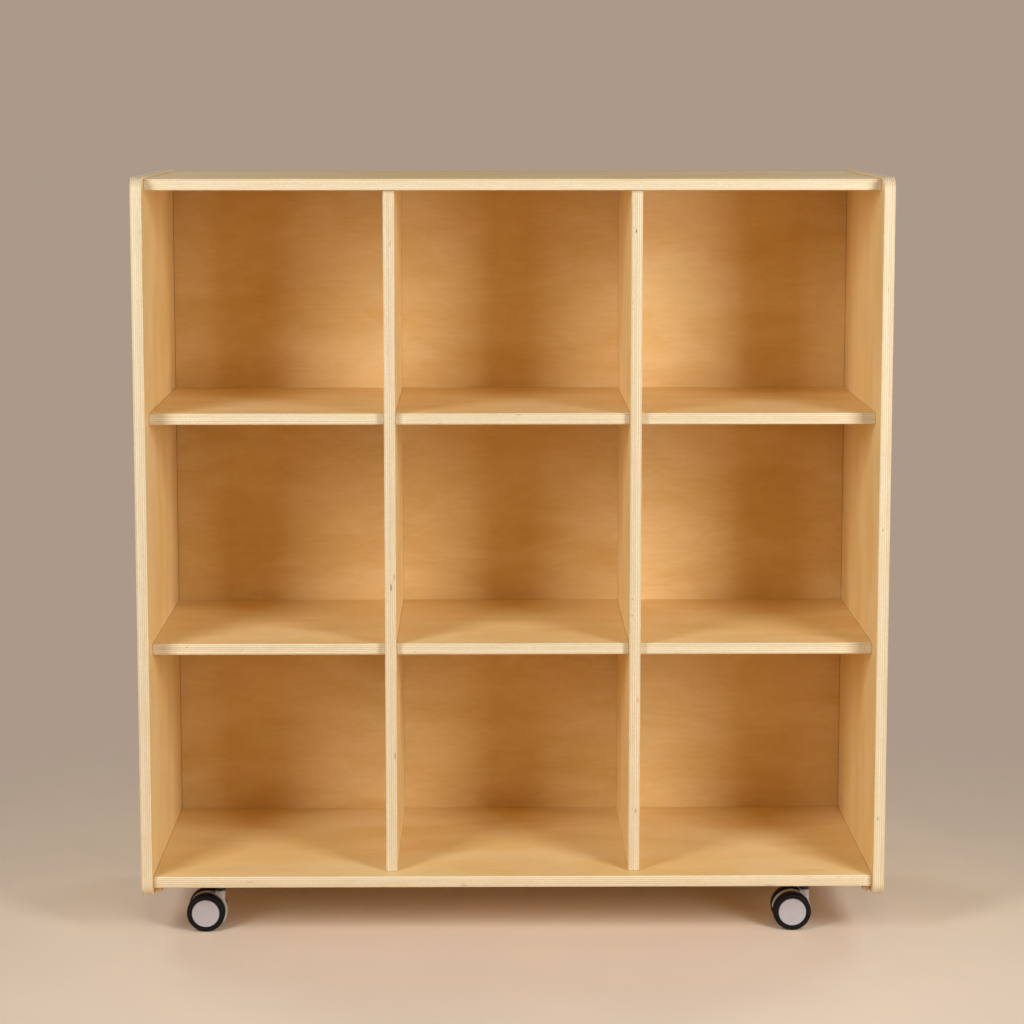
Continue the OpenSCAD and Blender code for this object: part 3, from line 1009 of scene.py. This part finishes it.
@dataclass
class Cabinet:
    """The plywood cabinet: side panels, level panels, dividers, shelves, back panel, strips and fasteners.

    Attributes:
        ease: Radius of the eased front edges.
        corner: Radius of the side panels' front corners.
        nick: Width of the broken edges elsewhere.
        fit: Gap around a screw head in its hole.
        dressed: The number of panels dressed so far, from which each one gets its own figure.
        back_seed: The number that gives the back panel its figure.
    """

    ease: float = 2 * MM
    corner: float = 20 * MM
    nick: float = 0.4 * MM
    fit: float = 0.05 * MM
    dressed: int = 0
    back_seed: float = 15.0

    def build(self) -> None:
        """Model and dress every piece of the cabinet."""
        columns = ("left", "middle", "right")
        self.panels(Axis.X, "side_panel_left", "side_panel_right")
        self.panels(Axis.X, "divider_left", "divider_right")
        self.panels(Axis.Z, "top_panel")
        self.panels(Axis.Z, "bottom_panel")
        self.panels(Axis.Z, *(f"shelf_{row}_{column}" for row in ("upper", "lower") for column in columns))
        self.dress_panel(self.back_panel(), "back_panel", THIN_BIRCH, Axis.Y, self.back_seed)
        self.strips()
        dress_node("joint_dowels", DOWEL_BEECH.material())
        for screws in (BACK_SCREWS, CASTER_SCREWS, STRIP_SCREWS):
            screws.build()

    def panels(self, through: Axis, *nodes: str) -> None:
        """Model a panel once, copy it for the nodes of the same shape, and dress each one.

        Args:
            through: The axis of their thickness.
            *nodes: The nodes that the panels stand for.
        """
        first = self.panel(nodes[0], along(through))
        pieces = [first] + [alike(first, nodes[0], node) for node in nodes[1:]]
        for node, piece in zip(nodes, pieces):
            self.dress_panel(piece, node, BIRCH, through, 1.0 + self.dressed)
            self.dressed += 1

    def dress_panel(self, piece: Piece, node: str, wood: Plywood, through: Axis, seed: float) -> None:
        """Give a panel its own figure of plywood and hand it over.

        Args:
            piece: The panel.
            node: The node that it stands for.
            wood: The kind of plywood.
            through: The axis of its thickness.
            seed: A number that gives it its own figure.
        """
        ends = not self.is_side(node)
        wear(piece, wood.material(node, through, seed, ends, rear=ends and wood is BIRCH))
        hand_over(piece, node, CABINET)

    def is_side(self, node: str) -> bool:
        """Whether a node is a side panel, which has round front corners and free ends."""
        return node.startswith("side_panel")

    def panel(self, node: str, run: Axis) -> Piece:
        """A panel with its front edges eased, and a side panel with its whole rim eased.

        Args:
            node: The node that it stands for.
            run: The axis along which its front edges run.

        Returns:
            The panel.
        """
        low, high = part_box(node)
        panel = add_block(finished(node), low, high)

        def at_front(a: Vector, b: Vector) -> bool:
            """Whether an edge lies in the front face."""
            return near(a.y, low.y) and near(b.y, low.y)

        def long_front(a: Vector, b: Vector) -> bool:
            """Whether it is one of the long edges there."""
            return at_front(a, b) and abs((a - b)[run.value]) > self.ease

        def rim(a: Vector, b: Vector) -> bool:
            """Whether it goes round a side panel's outer or inner face, the rear edge left out."""
            return near(a.x, b.x) and not (near(a.y, high.y) and near(b.y, high.y))

        if self.is_side(node):
            pick_edges(panel, lambda a, b: at_front(a, b) and near(a.z, b.z))
            bevel_picked(self.corner, segments=18)
        pick_edges(panel, rim if self.is_side(node) else long_front)
        bevel_picked(self.ease, segments=6)
        break_edges(panel, self.nick)
        return panel

    def back_panel(self) -> Piece:
        """The back panel with a countersunk hole for each screw.

        Returns:
            The panel.
        """
        low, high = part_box("back_panel")
        panel = add_block(finished("back_panel"), low, high)
        break_edges(panel, self.nick)
        thick, hole = high.y - low.y, BACK_SCREWS.shank + self.fit
        sink = add_drum("sink", -BACK * BACK_SCREWS.shank / 2, hole, 2 * thick, Axis.Y, Sides.SCREW)
        pick_faces(sink, BACK)
        bpy.ops.transform.translate(value=-BACK * (thick + BACK_SCREWS.head_height / 2))
        push(BACK * BACK_SCREWS.head_height)
        widen = (BACK_SCREWS.head_radius + self.fit) / hole
        shrink(widen, 1.0, widen)
        push(BACK * thick)
        deselect()
        seats = [BACK_SCREWS.seat(*box) for box in solid_boxes(BACK_SCREWS.node)]
        combine(panel, repeat(sink, seats), "DIFFERENCE")
        return panel

    def strips(self) -> None:
        """The two strips under the bottom panel."""
        left, right = "underside_strip_left", "underside_strip_right"
        strip = add_block(finished(left), *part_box(left))
        break_edges(strip, self.nick, segments=3)
        for node, piece in ((left, strip), (right, alike(strip, left, right))):
            wear(piece, STRIP_WOOD.material())
            hand_over(piece, node, CABINET)


@dataclass(frozen=True)
class Wheel:
    """The near wheel of a caster, with its tyre, hub and hub cap. Its outer side faces the front.

    Attributes:
        corner: The caster's corner, as in the nodes' names.
        shoulder: Radius of the tyre's shoulders.
        tyre_nick: Width of the tyre's broken edges.
        cap_nick: Width of the cap's broken edges.
        cap_thick: Thickness of the cap's face.
        cap_edge: Radius of the cap's edge.
        cap_rim: Width of the raised rim around the cap's face.
        cap_dish: Depth of the cap's face behind its rim.
        ring_wall: Wall of the cap's snap ring.
        hub_rim: Wall of the hub's rim.
    """

    corner: str
    shoulder: float = 4.5 * MM
    tyre_nick: float = 0.4 * MM
    cap_nick: float = 0.15 * MM
    cap_thick: float = 2.0 * MM
    cap_edge: float = 0.8 * MM
    cap_rim: float = 1.3 * MM
    cap_dish: float = 0.25 * MM
    ring_wall: float = 1.5 * MM
    hub_rim: float = 2.4 * MM

    def measured(self, part: str) -> tuple[str, Vector, Vector, Vector, float]:
        """Measure one of the wheel's parts.

        Args:
            part: The part, as in the nodes' names.

        Returns:
            Its node, its lowest and highest corners, its middle and its radius.
        """
        node = f"{part}_{self.corner}_near"
        low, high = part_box(node)
        return node, low, high, middle(node), (high.x - low.x) / 2

    def reach(self, centre: Vector, *points: Vector) -> float:
        """How far the nearest of some points lies from the wheel's axis, which runs through a centre."""
        return min(math.hypot(point.x - centre.x, point.z - centre.z) for point in points)

    def tyre(self) -> Piece:
        """The tyre: a ring with round shoulders.

        Returns:
            The tyre.
        """
        node, low, high, centre, radius = self.measured("tyre")
        bore = self.measured("hub")[-1]
        tyre = add_drum(finished(node), centre, radius, high.y - low.y, Axis.Y, Sides.WHEEL)
        pick_faces(tyre, BACK, both=True)
        bpy.ops.mesh.inset(thickness=radius - bore)
        bpy.ops.mesh.delete(type="FACE")
        bpy.ops.mesh.select_mode(type="EDGE")
        bpy.ops.mesh.select_non_manifold()
        bpy.ops.mesh.bridge_edge_loops()
        merge_doubles()
        bpy.ops.mesh.normals_make_consistent(inside=False)
        pick_edges(tyre, lambda a, b: near(a.y, b.y) and self.reach(centre, a, b) > (radius + bore) / 2)
        bevel_picked(self.shoulder, segments=10)
        break_edges(tyre, self.tyre_nick, sharper_than=60)
        return tyre

    def cap(self) -> Piece:
        """The hub cap: a face with a raised rim, and a snap ring behind it.

        Returns:
            The cap.
        """
        node, low, high, centre, radius = self.measured("hub_cap")
        ring = self.measured("hub")[-1] - self.hub_rim
        depth = high.y - low.y - self.cap_thick
        face = Vector((centre.x, low.y + self.cap_thick / 2, centre.z))
        cap = add_drum(finished(node), face, radius, self.cap_thick, Axis.Y, Sides.WHEEL)
        pick_faces(cap, -BACK)
        bpy.ops.mesh.inset(thickness=self.cap_rim)
        bpy.ops.mesh.inset(thickness=self.cap_dish, depth=-self.cap_dish)
        pick_faces(cap, BACK)
        bpy.ops.mesh.inset(thickness=radius - ring)
        push(BACK * depth)
        bpy.ops.mesh.inset(thickness=self.ring_wall)
        push(-BACK * depth)

        def outer_edge(a: Vector, b: Vector) -> bool:
            """Whether an edge goes round the front of the cap."""
            at_front = near(a.y, low.y) and near(b.y, low.y)
            return at_front and self.reach(centre, a, b) > radius - self.cap_rim / 2

        pick_edges(cap, outer_edge)
        bevel_picked(self.cap_edge, segments=4)
        break_edges(cap, self.cap_nick, sharper_than=40)
        return cap


@dataclass(frozen=True)
class Casters:
    """The four twin wheel casters: plates with bearing cups, kingpins, housings, axles and wheels.

    Attributes:
        corners: The corners that they stand at, as in the nodes' names.
        web: Thickness of the housing between the wheels.
        hood_ahead: The hood's centre from the axle, towards the column.
        hood_below: The hood's centre below the axle.
        cut_rise: How steeply the hood's lower edge falls, in degrees.
        boss: Radius of the housing's boss around the axle.
        column: Radius of the column's neck.
        neck: Height of the column's round neck.
        softened: Radius of the column's upright edges.
        plate_thick: Thickness of the mounting plate.
        plate_corner: Radius of its corners.
        cup_base: Radius of the bearing cup's base.
        cup_neck: Radius of the bearing cup's neck.
        cup_base_high: Height of the base.
        cup_cone_high: Height of the cone between base and neck.
        pin_radius: Radius of the kingpin's shank.
        fit: Gap around the pins.
        housing_nick: Width of the housing's broken edges.
        plate_nick: Width of the plate's broken edges.
    """

    corners: tuple[str, ...] = ("front_left", "front_right", "rear_left", "rear_right")
    web: float = 11 * MM
    hood_ahead: float = 1 * MM
    hood_below: float = 2 * MM
    cut_rise: float = 21.0
    boss: float = 8 * MM
    column: float = 6.3 * MM
    neck: float = 3 * MM
    softened: float = 3.5 * MM
    plate_thick: float = 2.5 * MM
    plate_corner: float = 5 * MM
    cup_base: float = 13 * MM
    cup_neck: float = 6.5 * MM
    cup_base_high: float = 3 * MM
    cup_cone_high: float = 5 * MM
    pin_radius: float = 3.5 * MM
    fit: float = 0.05 * MM
    housing_nick: float = 0.5 * MM
    plate_nick: float = 0.6 * MM

    def build(self) -> None:
        """Model each piece once, copy it to every corner, and dress them all."""
        first = self.corners[0]
        wheel = Wheel(first)
        self.spread("caster_plate", "", self.plate(f"caster_plate_{first}"), CABINET, BLACK_PLATE)
        housing = self.housing(f"caster_housing_{first}")
        self.spread("caster_housing", "", housing, "swivel_{corner}", HOUSING_PLASTIC)
        for end in ("_near", "_far"):
            body = "wheel_{corner}" + end
            self.spread("tyre", end, wheel.tyre(), body, TYRE_RUBBER)
            self.spread("hub_cap", end, wheel.cap(), body, CAP_PLASTIC)
        for corner in self.corners:
            for end in ("near", "far"):
                dress_node(f"hub_{corner}_{end}", HUB_PLASTIC.material())
            for node in (f"kingpin_{corner}", f"axle_{corner}"):
                dress_node(node, ZINC_STEEL.material())

    def spread(self, part: str, end: str, model: Piece, body: str, finish: Moulded) -> None:
        """Copy a piece to every corner.

        Args:
            part: The part, as in the nodes' names.
            end: The wheel's end of the axle, as in the nodes' names, or nothing.
            model: The piece at the first corner, which is used up.
            body: The form of the name of the body that it rides on.
            finish: Its finish.
        """
        start = f"{part}_{self.corners[0]}" + ("_near" if end else "")
        for corner in self.corners:
            node = f"{part}_{corner}{end}"
            piece = alike(model, start, node, end == "_far")
            wear(piece, finish.material())
            hand_over(piece, node, body.format(corner=corner))
        bpy.data.objects.remove(model)

    def housing(self, node: str) -> Piece:
        """The hood between the wheels with its boss and its column.

        Args:
            node: The housing's node.

        Returns:
            The housing.
        """
        low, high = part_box(node)
        pin, axle = (middle(f"{part}_{self.corners[0]}") for part in ("kingpin", "axle"))
        centre = axle + Vector((self.hood_ahead, 0, -self.hood_below))
        hood = add_drum(finished(node), centre, centre.x - low.x, self.web, Axis.Y, Sides.HOOD)
        fall = math.radians(self.cut_rise)
        under = Vector((-math.sin(fall), 0, -math.cos(fall)))
        choose(hood)
        bpy.ops.object.mode_set(mode="EDIT")
        bpy.ops.mesh.select_all(action="SELECT")
        bpy.ops.mesh.bisect(
            plane_co=axle + under * self.boss, plane_no=under, use_fill=True, clear_outer=True
        )
        half = Vector((self.column, self.web / 2, 0))
        foot, head = (Vector((pin.x, pin.y, level)) for level in (axle.z, high.z))
        column = add_block("column", foot - half, head + half)
        pick_edges(column, lambda a, b: near(a.x, b.x) and near(a.y, b.y) and a.x > pin.x)
        bevel_picked(self.softened, segments=8)
        combine(hood, column, "UNION")
        neck = Vector((pin.x, pin.y, high.z - self.neck / 2))
        combine(hood, add_drum("neck", neck, self.column, self.neck, Axis.Z, Sides.COLUMN), "UNION")
        break_edges(hood, self.housing_nick, segments=3, sharper_than=40)
        pin_depth = high.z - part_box(f"kingpin_{self.corners[0]}")[0].z
        drill(hood, head, self.pin_radius + self.fit, 2 * pin_depth + MM, Axis.Z)
        axle_low, axle_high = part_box(f"axle_{self.corners[0]}")
        drill(hood, axle, (axle_high.z - axle_low.z) / 2 + self.fit, 2 * self.web, Axis.Y)
        return hood

    def plate(self, node: str) -> Piece:
        """The mounting plate with the bearing cup pressed out of it.

        Args:
            node: The plate's node.

        Returns:
            The plate.
        """
        low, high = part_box(node)
        pin = middle(f"kingpin_{self.corners[0]}")
        plate = add_block(finished(node), Vector((low.x, low.y, high.z - self.plate_thick)), high)
        pick_edges(plate, lambda a, b: near(a.x, b.x) and near(a.y, b.y))
        bevel_picked(self.plate_corner, segments=8)
        # The cup's base starts halfway through the plate
        level = high.z - self.plate_thick - self.cup_base_high / 2 + self.plate_thick / 4
        base, base_high = Vector((pin.x, pin.y, level)), self.cup_base_high + self.plate_thick / 2
        cup = add_drum("cup", base, self.cup_base, base_high, Axis.Z, Sides.COLUMN)
        pick_faces(cup, -UP)
        push(-UP * self.cup_cone_high)
        shrink(self.cup_neck / self.cup_base, self.cup_neck / self.cup_base)
        push(-UP * (high.z - self.plate_thick - self.cup_base_high - self.cup_cone_high - low.z))
        combine(plate, cup, "UNION")
        break_edges(plate, self.plate_nick, segments=3, sharper_than=25)
        drill(plate, pin, self.pin_radius + self.fit, high.z, Axis.Z)
        return plate


@dataclass(frozen=True)
class SoftLight:
    """A large soft lamp that points at the cabinet.

    Attributes:
        name: Its name.
        azimuth: Where it stands, in degrees to the right of the front.
        elevation: How high it stands, in degrees above the cabinet's middle.
        distance: How far it stands, in metres.
        width: The width of its face, in metres.
        height: The height of its face, in metres.
        power: Its power, in watts.
        colour: The colour of its light.
    """

    name: str
    azimuth: float
    elevation: float
    distance: float
    width: float
    height: float
    power: float
    colour: Triple = (1.0, 1.0, 1.0)

    def place(self, target: Vector) -> None:
        """Add the lamp.

        Args:
            target: The point that it faces.
        """
        turn, rise = math.radians(self.azimuth), math.radians(self.elevation)
        away = Vector((math.sin(turn) * math.cos(rise), -math.cos(turn) * math.cos(rise), math.sin(rise)))
        deselect()
        bpy.ops.object.light_add(type="AREA", location=target + away * self.distance)
        lamp = bpy.context.object
        lamp.name = self.name
        lamp.rotation_euler = away.to_track_quat("Z", "Y").to_euler()
        lamp.data.shape = "RECTANGLE"
        lamp.data.size = self.width
        lamp.data.size_y = self.height
        lamp.data.energy = self.power
        lamp.data.color = self.colour
        LOG.info("%s at azimuth %g", self.name, self.azimuth)


@dataclass
class Studio:
    """The plain floor, the backdrop, the lamps and the camera.

    Attributes:
        eye: The camera's place.
        pitch: How far the camera looks down, in degrees.
        yaw: How far the camera looks to the right, in degrees.
        lens: Its focal length, in millimetres.
        shift: Its vertical shift.
        floor_radius: The radius of the floor.
        fade_from: The distance from the cabinet at which the floor begins to fade into the backdrop.
        floor_colour: The colour of the floor.
        floor_dim: The level of the floor where it is darkest.
        backdrop: The colour behind the cabinet, as the camera sees it.
        lights: The lamps.
        ambient: The fill light from all sides.
    """

    eye: Vector = field(default_factory=lambda: Vector((-0.0386, -3.8429, 1.1133)))
    pitch: float = 7.347
    yaw: float = 0.582
    lens: float = 100.03
    shift: float = -0.0508
    floor_radius: float = 1.4
    fade_from: float = 0.6
    floor_colour: Colour = paint(238, 216, 190)
    floor_dim: float = 0.96
    backdrop: Colour = paint(172, 153, 137)
    lights: tuple[SoftLight, ...] = (
        SoftLight("light_left", -38, 21, 2.5, 0.7, 1.5, 37, (0.98, 1.0, 1.07)),
        SoftLight("light_right", 38, 16, 2.4, 0.7, 1.5, 42, (0.98, 1.0, 1.07)),
        SoftLight("light_above", 0, 60, 3.0, 1.5, 1.5, 3),
        SoftLight("light_rear_left", -140, 28, 3.0, 1.4, 0.8, 18),
        SoftLight("light_rear_right", 140, 28, 3.0, 1.4, 0.8, 18),
    )
    ambient: Colour = (0.03, 0.026, 0.019, 1.0)

    def build(self) -> None:
        """Make the stage, the lamps and the camera."""
        self.floor()
        self.world()
        for light in self.lights:
            light.place((CAD_BOX[0] + CAD_BOX[1]) / 2)
        self.camera()

    def floor(self) -> None:
        """A wide round floor that fades into the backdrop and is clear when seen from below."""
        deselect()
        bpy.ops.mesh.primitive_circle_add(vertices=Sides.WHEEL, radius=self.floor_radius, fill_type="NGON")
        floor = settle("studio_floor")
        material, graph, shader = new_material("studio_floor")
        place = graph.millimetres()
        cloud = graph.swing(graph.noise(place, (0.004,) * 3, 3.0))
        dim = tuple(self.floor_dim * level for level in self.floor_colour[:3]) + (1.0,)
        graph.feed(shader, {"Base Color": graph.mix(cloud, dim, self.floor_colour), "Roughness": 0.8,
                            "Specular IOR Level": 0.2})
        far = graph.span(graph.vector("LENGTH", place), self.fade_from / MM, self.floor_radius / MM)
        fade = graph.math("MAXIMUM", far, graph.node("NewGeometry").outputs["Backfacing"])
        clear = graph.node("BsdfTransparent").outputs[0]
        blend = graph.node("MixShader", fade, shader.outputs[0], clear).outputs[0]
        graph.feed(graph.find("OUTPUT_MATERIAL"), {"Surface": blend})
        wear(floor, material)

    def world(self) -> None:
        """The backdrop as the camera sees it, and a soft fill light from all sides."""
        world = bpy.data.worlds.new("studio")
        bpy.context.scene.world = world
        world.use_nodes = True
        graph = Graph(world.node_tree)
        path = graph.node("LightPath").outputs
        seen = graph.math("MAXIMUM", path["Is Camera Ray"], path["Is Glossy Ray"])
        seen = graph.math("MAXIMUM", seen, path["Is Transmission Ray"])
        graph.feed(graph.find("BACKGROUND"), {"Color": graph.mix(seen, self.ambient, self.backdrop)})

    def camera(self) -> None:
        """The camera at the photograph's viewing angle."""
        deselect()
        turn = (math.radians(90 - self.pitch), 0.0, -math.radians(self.yaw))
        bpy.ops.object.camera_add(location=self.eye, rotation=turn)
        camera = bpy.context.object
        camera.name = "studio_camera"
        camera.data.lens = self.lens
        camera.data.sensor_width = 36.0
        camera.data.shift_y = self.shift
        bpy.context.scene.camera = camera
        bpy.context.scene.view_settings.view_transform = "Standard"


def main() -> None:
    """Build the sub-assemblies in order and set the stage."""
    logging.basicConfig(level=logging.INFO, format="%(name)s: %(message)s")
    Cabinet().build()
    Casters().build()
    Studio().build()


if __name__ == "__main__":
    main()
